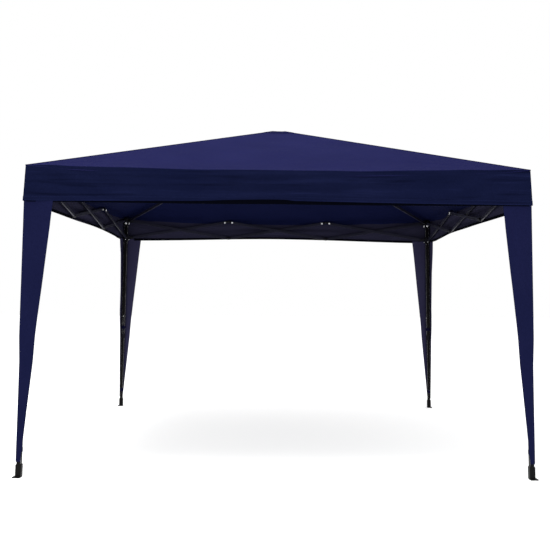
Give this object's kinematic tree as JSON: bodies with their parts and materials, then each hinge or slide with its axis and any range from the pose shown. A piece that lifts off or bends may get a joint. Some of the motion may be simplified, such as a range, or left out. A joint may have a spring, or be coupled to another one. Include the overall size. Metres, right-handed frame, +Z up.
{
  "type": "pop up gazebo",
  "caption": "Square folding gazebo with a pyramid fabric roof, straight valance, tapering leg skirts, scissor side trusses, folding rafters and telescopic legs.",
  "frame": {"origin": "on the ground, at the centre of the four legs", "axes": "+Z up, -Y to the front, +X to the right"},
  "size_m": [3.012, 3.012, 2.34],
  "materials": {
    "roof_cloth": "coated polyester",
    "valance_cloth": "coated polyester",
    "dark_steel": "powder coat",
    "black_plastic": "moulded",
    "zinc": "zinc plated"
  },
  "bodies": {
    "crown": {"crown_hub": "black_plastic", "crown_cap": "black_plastic", "canopy_roof": "roof_cloth", "valance": "valance_cloth"},
    "front_left_upper_rafter": {"front_left_upper_rafter": "dark_steel"},
    "front_left_lower_rafter": {"front_left_lower_rafter": "dark_steel"},
    "front_left_leg": {"front_left_upper_leg": "dark_steel", "front_left_top_bracket": "black_plastic", "front_left_leg_skirt": "valance_cloth"},
    "front_left_lower_leg": {"front_left_lower_leg": "dark_steel"},
    "front_left_snap_button": {"front_left_snap_button": "zinc"},
    "front_left_slider": {"front_left_slider": "black_plastic"},
    "front_right_upper_rafter": {"front_right_upper_rafter": "dark_steel"},
    "front_right_lower_rafter": {"front_right_lower_rafter": "dark_steel"},
    "front_right_leg": {"front_right_upper_leg": "dark_steel", "front_right_top_bracket": "black_plastic", "front_right_leg_skirt": "valance_cloth"},
    "front_right_lower_leg": {"front_right_lower_leg": "dark_steel"},
    "front_right_snap_button": {"front_right_snap_button": "zinc"},
    "front_right_slider": {"front_right_slider": "black_plastic"},
    "rear_right_upper_rafter": {"rear_right_upper_rafter": "dark_steel"},
    "rear_right_lower_rafter": {"rear_right_lower_rafter": "dark_steel"},
    "rear_right_leg": {"rear_right_upper_leg": "dark_steel", "rear_right_top_bracket": "black_plastic", "rear_right_leg_skirt": "valance_cloth"},
    "rear_right_lower_leg": {"rear_right_lower_leg": "dark_steel"},
    "rear_right_snap_button": {"rear_right_snap_button": "zinc"},
    "rear_right_slider": {"rear_right_slider": "black_plastic"},
    "rear_left_upper_rafter": {"rear_left_upper_rafter": "dark_steel"},
    "rear_left_lower_rafter": {"rear_left_lower_rafter": "dark_steel"},
    "rear_left_leg": {"rear_left_upper_leg": "dark_steel", "rear_left_top_bracket": "black_plastic", "rear_left_leg_skirt": "valance_cloth"},
    "rear_left_lower_leg": {"rear_left_lower_leg": "dark_steel"},
    "rear_left_snap_button": {"rear_left_snap_button": "zinc"},
    "rear_left_slider": {"rear_left_slider": "black_plastic"},
    "front_bar_1_down": {"front_bar_1_down": "dark_steel"},
    "front_bar_1_up": {"front_bar_1_up": "dark_steel"},
    "front_bar_2_down": {"front_bar_2_down": "dark_steel"},
    "front_bar_2_up": {"front_bar_2_up": "dark_steel"},
    "front_bar_3_down": {"front_bar_3_down": "dark_steel"},
    "front_bar_3_up": {"front_bar_3_up": "dark_steel"},
    "right_bar_1_down": {"right_bar_1_down": "dark_steel"},
    "right_bar_1_up": {"right_bar_1_up": "dark_steel"},
    "right_bar_2_down": {"right_bar_2_down": "dark_steel"},
    "right_bar_2_up": {"right_bar_2_up": "dark_steel"},
    "right_bar_3_down": {"right_bar_3_down": "dark_steel"},
    "right_bar_3_up": {"right_bar_3_up": "dark_steel"},
    "rear_bar_1_down": {"rear_bar_1_down": "dark_steel"},
    "rear_bar_1_up": {"rear_bar_1_up": "dark_steel"},
    "rear_bar_2_down": {"rear_bar_2_down": "dark_steel"},
    "rear_bar_2_up": {"rear_bar_2_up": "dark_steel"},
    "rear_bar_3_down": {"rear_bar_3_down": "dark_steel"},
    "rear_bar_3_up": {"rear_bar_3_up": "dark_steel"},
    "left_bar_1_down": {"left_bar_1_down": "dark_steel"},
    "left_bar_1_up": {"left_bar_1_up": "dark_steel"},
    "left_bar_2_down": {"left_bar_2_down": "dark_steel"},
    "left_bar_2_up": {"left_bar_2_up": "dark_steel"},
    "left_bar_3_down": {"left_bar_3_down": "dark_steel"},
    "left_bar_3_up": {"left_bar_3_up": "dark_steel"}
  },
  "joints": [
    {"name": "frame_fold", "type": "hinge", "parent": "crown", "child": "front_left_upper_rafter", "pos_m": [-0.04243, -0.04243, 2.29185], "axis": [-0.7071, 0.7071, 0], "range_deg": [0, 98.29], "deforming": ["canopy_roof", "valance"]},
    {"name": "front_left_knee_hinge", "type": "hinge", "parent": "front_left_upper_rafter", "child": "front_left_lower_rafter", "pos_m": [-0.55322, -0.55322, 2.10162], "axis": [0.7071, -0.7071, 0], "range_deg": [0, 167.08]},
    {"name": "front_left_bracket_hinge", "type": "hinge", "parent": "front_left_lower_rafter", "child": "front_left_leg", "pos_m": [-1.42757, -1.42757, 1.776], "axis": [-0.7071, 0.7071, 0], "range_deg": [0, 68.79]},
    {"name": "front_left_leg_extension", "type": "slide", "parent": "front_left_leg", "child": "front_left_lower_leg", "axis": [0, 0, -1], "range_m": [0, 0.16]},
    {"name": "front_left_snap_press", "type": "slide", "parent": "front_left_lower_leg", "child": "front_left_snap_button", "axis": [-1, 0, 0], "range_m": [0, 0.0048], "stiffness_N_per_m": 400},
    {"name": "front_right_crown_hinge", "type": "hinge", "parent": "crown", "child": "front_right_upper_rafter", "pos_m": [0.04243, -0.04243, 2.29185], "axis": [-0.7071, -0.7071, 0], "range_deg": [0, 98.3]},
    {"name": "front_right_knee_hinge", "type": "hinge", "parent": "front_right_upper_rafter", "child": "front_right_lower_rafter", "pos_m": [0.55322, -0.55322, 2.10162], "axis": [0.7071, 0.7071, 0], "range_deg": [0, 167.08]},
    {"name": "front_right_bracket_hinge", "type": "hinge", "parent": "front_right_lower_rafter", "child": "front_right_leg", "pos_m": [1.42757, -1.42757, 1.776], "axis": [-0.7071, -0.7071, 0], "range_deg": [0, 68.79]},
    {"name": "front_right_leg_extension", "type": "slide", "parent": "front_right_leg", "child": "front_right_lower_leg", "axis": [0, 0, -1], "range_m": [0, 0.16]},
    {"name": "front_right_snap_press", "type": "slide", "parent": "front_right_lower_leg", "child": "front_right_snap_button", "axis": [0, -1, 0], "range_m": [0, 0.0048], "stiffness_N_per_m": 400},
    {"name": "rear_right_crown_hinge", "type": "hinge", "parent": "crown", "child": "rear_right_upper_rafter", "pos_m": [0.04243, 0.04243, 2.29185], "axis": [0.7071, -0.7071, 0], "range_deg": [0, 98.3]},
    {"name": "rear_right_knee_hinge", "type": "hinge", "parent": "rear_right_upper_rafter", "child": "rear_right_lower_rafter", "pos_m": [0.55322, 0.55322, 2.10162], "axis": [-0.7071, 0.7071, 0], "range_deg": [0, 167.08]},
    {"name": "rear_right_bracket_hinge", "type": "hinge", "parent": "rear_right_lower_rafter", "child": "rear_right_leg", "pos_m": [1.42757, 1.42757, 1.776], "axis": [0.7071, -0.7071, 0], "range_deg": [0, 68.79]},
    {"name": "rear_right_leg_extension", "type": "slide", "parent": "rear_right_leg", "child": "rear_right_lower_leg", "axis": [0, 0, -1], "range_m": [0, 0.16]},
    {"name": "rear_right_snap_press", "type": "slide", "parent": "rear_right_lower_leg", "child": "rear_right_snap_button", "axis": [1, 0, 0], "range_m": [0, 0.0048], "stiffness_N_per_m": 400},
    {"name": "rear_left_crown_hinge", "type": "hinge", "parent": "crown", "child": "rear_left_upper_rafter", "pos_m": [-0.04243, 0.04243, 2.29185], "axis": [0.7071, 0.7071, 0], "range_deg": [0, 98.3]},
    {"name": "rear_left_knee_hinge", "type": "hinge", "parent": "rear_left_upper_rafter", "child": "rear_left_lower_rafter", "pos_m": [-0.55322, 0.55322, 2.10162], "axis": [-0.7071, -0.7071, 0], "range_deg": [0, 167.08]},
    {"name": "rear_left_bracket_hinge", "type": "hinge", "parent": "rear_left_lower_rafter", "child": "rear_left_leg", "pos_m": [-1.42757, 1.42757, 1.776], "axis": [0.7071, 0.7071, 0], "range_deg": [0, 68.79]},
    {"name": "rear_left_leg_extension", "type": "slide", "parent": "rear_left_leg", "child": "rear_left_lower_leg", "axis": [0, 0, -1], "range_m": [0, 0.16]},
    {"name": "rear_left_snap_press", "type": "slide", "parent": "rear_left_lower_leg", "child": "rear_left_snap_button", "axis": [0, 1, 0], "range_m": [0, 0.0048], "stiffness_N_per_m": 400},
    {"name": "front_bar_1_down_hinge", "type": "hinge", "parent": "front_left_leg", "child": "front_bar_1_down", "pos_m": [-1.425, -1.47, 1.768], "axis": [0, 1, 0], "range_deg": [0, 72.41]},
    {"name": "front_cross_1_hinge", "type": "hinge", "parent": "front_bar_1_down", "child": "front_bar_1_up", "pos_m": [-0.95, -1.47, 1.68766], "axis": [0, -1, 0], "range_deg": [0, 144.81]},
    {"name": "front_bar_2_up_hinge", "type": "hinge", "parent": "front_bar_1_down", "child": "front_bar_2_up", "pos_m": [-0.475, -1.47, 1.60732], "axis": [0, -1, 0], "range_deg": [0, 144.81]},
    {"name": "front_bar_3_up_hinge", "type": "hinge", "parent": "front_right_leg", "child": "front_bar_3_up", "pos_m": [1.425, -1.47, 1.768], "axis": [0, -1, 0], "range_deg": [0, 72.41]},
    {"name": "front_cross_3_hinge", "type": "hinge", "parent": "front_bar_3_up", "child": "front_bar_3_down", "pos_m": [0.95, -1.47, 1.68766], "axis": [0, 1, 0], "range_deg": [0, 144.81]},
    {"name": "front_bar_2_down_hinge", "type": "hinge", "parent": "front_bar_3_up", "child": "front_bar_2_down", "pos_m": [0.475, -1.47, 1.60732], "axis": [0, 1, 0], "range_deg": [0, 144.81]},
    {"name": "front_left_slider_hinge", "type": "hinge", "parent": "front_bar_1_up", "child": "front_left_slider", "pos_m": [-1.425, -1.47, 1.60732], "axis": [0, 1, 0], "range_deg": [0, 72.41]},
    {"name": "right_bar_1_down_hinge", "type": "hinge", "parent": "front_right_leg", "child": "right_bar_1_down", "pos_m": [1.47, -1.425, 1.768], "axis": [-1, 0, 0], "range_deg": [0, 72.41]},
    {"name": "right_cross_1_hinge", "type": "hinge", "parent": "right_bar_1_down", "child": "right_bar_1_up", "pos_m": [1.47, -0.95, 1.68766], "axis": [1, 0, 0], "range_deg": [0, 144.81]},
    {"name": "right_bar_2_up_hinge", "type": "hinge", "parent": "right_bar_1_down", "child": "right_bar_2_up", "pos_m": [1.47, -0.475, 1.60732], "axis": [1, 0, 0], "range_deg": [0, 144.81]},
    {"name": "right_bar_3_up_hinge", "type": "hinge", "parent": "rear_right_leg", "child": "right_bar_3_up", "pos_m": [1.47, 1.425, 1.768], "axis": [1, 0, 0], "range_deg": [0, 72.41]},
    {"name": "right_cross_3_hinge", "type": "hinge", "parent": "right_bar_3_up", "child": "right_bar_3_down", "pos_m": [1.47, 0.95, 1.68766], "axis": [-1, 0, 0], "range_deg": [0, 144.81]},
    {"name": "right_bar_2_down_hinge", "type": "hinge", "parent": "right_bar_3_up", "child": "right_bar_2_down", "pos_m": [1.47, 0.475, 1.60732], "axis": [-1, 0, 0], "range_deg": [0, 144.81]},
    {"name": "front_right_slider_hinge", "type": "hinge", "parent": "right_bar_1_up", "child": "front_right_slider", "pos_m": [1.47, -1.425, 1.60732], "axis": [-1, 0, 0], "range_deg": [0, 72.41]},
    {"name": "rear_bar_1_down_hinge", "type": "hinge", "parent": "rear_right_leg", "child": "rear_bar_1_down", "pos_m": [1.425, 1.47, 1.768], "axis": [0, -1, 0], "range_deg": [0, 72.41]},
    {"name": "rear_cross_1_hinge", "type": "hinge", "parent": "rear_bar_1_down", "child": "rear_bar_1_up", "pos_m": [0.95, 1.47, 1.68766], "axis": [0, 1, 0], "range_deg": [0, 144.81]},
    {"name": "rear_bar_2_up_hinge", "type": "hinge", "parent": "rear_bar_1_down", "child": "rear_bar_2_up", "pos_m": [0.475, 1.47, 1.60732], "axis": [0, 1, 0], "range_deg": [0, 144.81]},
    {"name": "rear_bar_3_up_hinge", "type": "hinge", "parent": "rear_left_leg", "child": "rear_bar_3_up", "pos_m": [-1.425, 1.47, 1.768], "axis": [0, 1, 0], "range_deg": [0, 72.41]},
    {"name": "rear_cross_3_hinge", "type": "hinge", "parent": "rear_bar_3_up", "child": "rear_bar_3_down", "pos_m": [-0.95, 1.47, 1.68766], "axis": [0, -1, 0], "range_deg": [0, 144.81]},
    {"name": "rear_bar_2_down_hinge", "type": "hinge", "parent": "rear_bar_3_up", "child": "rear_bar_2_down", "pos_m": [-0.475, 1.47, 1.60732], "axis": [0, -1, 0], "range_deg": [0, 144.81]},
    {"name": "rear_right_slider_hinge", "type": "hinge", "parent": "rear_bar_1_up", "child": "rear_right_slider", "pos_m": [1.425, 1.47, 1.60732], "axis": [0, -1, 0], "range_deg": [0, 72.41]},
    {"name": "left_bar_1_down_hinge", "type": "hinge", "parent": "rear_left_leg", "child": "left_bar_1_down", "pos_m": [-1.47, 1.425, 1.768], "axis": [1, 0, 0], "range_deg": [0, 72.41]},
    {"name": "left_cross_1_hinge", "type": "hinge", "parent": "left_bar_1_down", "child": "left_bar_1_up", "pos_m": [-1.47, 0.95, 1.68766], "axis": [-1, 0, 0], "range_deg": [0, 144.81]},
    {"name": "left_bar_2_up_hinge", "type": "hinge", "parent": "left_bar_1_down", "child": "left_bar_2_up", "pos_m": [-1.47, 0.475, 1.60732], "axis": [-1, 0, 0], "range_deg": [0, 144.81]},
    {"name": "left_bar_3_up_hinge", "type": "hinge", "parent": "front_left_leg", "child": "left_bar_3_up", "pos_m": [-1.47, -1.425, 1.768], "axis": [-1, 0, 0], "range_deg": [0, 72.41]},
    {"name": "left_cross_3_hinge", "type": "hinge", "parent": "left_bar_3_up", "child": "left_bar_3_down", "pos_m": [-1.47, -0.95, 1.68766], "axis": [1, 0, 0], "range_deg": [0, 144.81]},
    {"name": "left_bar_2_down_hinge", "type": "hinge", "parent": "left_bar_3_up", "child": "left_bar_2_down", "pos_m": [-1.47, -0.475, 1.60732], "axis": [1, 0, 0], "range_deg": [0, 144.81]},
    {"name": "rear_left_slider_hinge", "type": "hinge", "parent": "left_bar_1_up", "child": "rear_left_slider", "pos_m": [-1.47, 1.425, 1.60732], "axis": [1, 0, 0], "range_deg": [0, 72.41]}
  ],
  "couplings": [
    {"joint": "front_left_knee_hinge", "follows": "frame_fold", "ratio": 1.6998},
    {"joint": "front_left_bracket_hinge", "follows": "frame_fold", "ratio": 0.6998},
    {"joint": "front_right_crown_hinge", "follows": "frame_fold", "ratio": 1},
    {"joint": "front_right_knee_hinge", "follows": "frame_fold", "ratio": 1.6998},
    {"joint": "front_right_bracket_hinge", "follows": "frame_fold", "ratio": 0.6998},
    {"joint": "rear_right_crown_hinge", "follows": "frame_fold", "ratio": 1},
    {"joint": "rear_right_knee_hinge", "follows": "frame_fold", "ratio": 1.6998},
    {"joint": "rear_right_bracket_hinge", "follows": "frame_fold", "ratio": 0.6998},
    {"joint": "rear_left_crown_hinge", "follows": "frame_fold", "ratio": 1},
    {"joint": "rear_left_knee_hinge", "follows": "frame_fold", "ratio": 1.6998},
    {"joint": "rear_left_bracket_hinge", "follows": "frame_fold", "ratio": 0.6998},
    {"joint": "front_bar_1_down_hinge", "follows": "frame_fold", "ratio": 0.73661},
    {"joint": "front_cross_1_hinge", "follows": "frame_fold", "ratio": 1.4732},
    {"joint": "front_bar_2_up_hinge", "follows": "frame_fold", "ratio": 1.4732},
    {"joint": "front_bar_3_up_hinge", "follows": "frame_fold", "ratio": 0.73661},
    {"joint": "front_cross_3_hinge", "follows": "frame_fold", "ratio": 1.4732},
    {"joint": "front_bar_2_down_hinge", "follows": "frame_fold", "ratio": 1.4732},
    {"joint": "front_left_slider_hinge", "follows": "frame_fold", "ratio": 0.73661},
    {"joint": "right_bar_1_down_hinge", "follows": "frame_fold", "ratio": 0.73661},
    {"joint": "right_cross_1_hinge", "follows": "frame_fold", "ratio": 1.4732},
    {"joint": "right_bar_2_up_hinge", "follows": "frame_fold", "ratio": 1.4732},
    {"joint": "right_bar_3_up_hinge", "follows": "frame_fold", "ratio": 0.73661},
    {"joint": "right_cross_3_hinge", "follows": "frame_fold", "ratio": 1.4732},
    {"joint": "right_bar_2_down_hinge", "follows": "frame_fold", "ratio": 1.4732},
    {"joint": "front_right_slider_hinge", "follows": "frame_fold", "ratio": 0.73661},
    {"joint": "rear_bar_1_down_hinge", "follows": "frame_fold", "ratio": 0.73661},
    {"joint": "rear_cross_1_hinge", "follows": "frame_fold", "ratio": 1.4732},
    {"joint": "rear_bar_2_up_hinge", "follows": "frame_fold", "ratio": 1.4732},
    {"joint": "rear_bar_3_up_hinge", "follows": "frame_fold", "ratio": 0.73661},
    {"joint": "rear_cross_3_hinge", "follows": "frame_fold", "ratio": 1.4732},
    {"joint": "rear_bar_2_down_hinge", "follows": "frame_fold", "ratio": 1.4732},
    {"joint": "rear_right_slider_hinge", "follows": "frame_fold", "ratio": 0.73661},
    {"joint": "left_bar_1_down_hinge", "follows": "frame_fold", "ratio": 0.73661},
    {"joint": "left_cross_1_hinge", "follows": "frame_fold", "ratio": 1.4732},
    {"joint": "left_bar_2_up_hinge", "follows": "frame_fold", "ratio": 1.4732},
    {"joint": "left_bar_3_up_hinge", "follows": "frame_fold", "ratio": 0.73661},
    {"joint": "left_cross_3_hinge", "follows": "frame_fold", "ratio": 1.4732},
    {"joint": "left_bar_2_down_hinge", "follows": "frame_fold", "ratio": 1.4732},
    {"joint": "rear_left_slider_hinge", "follows": "frame_fold", "ratio": 0.73661}
  ]
}
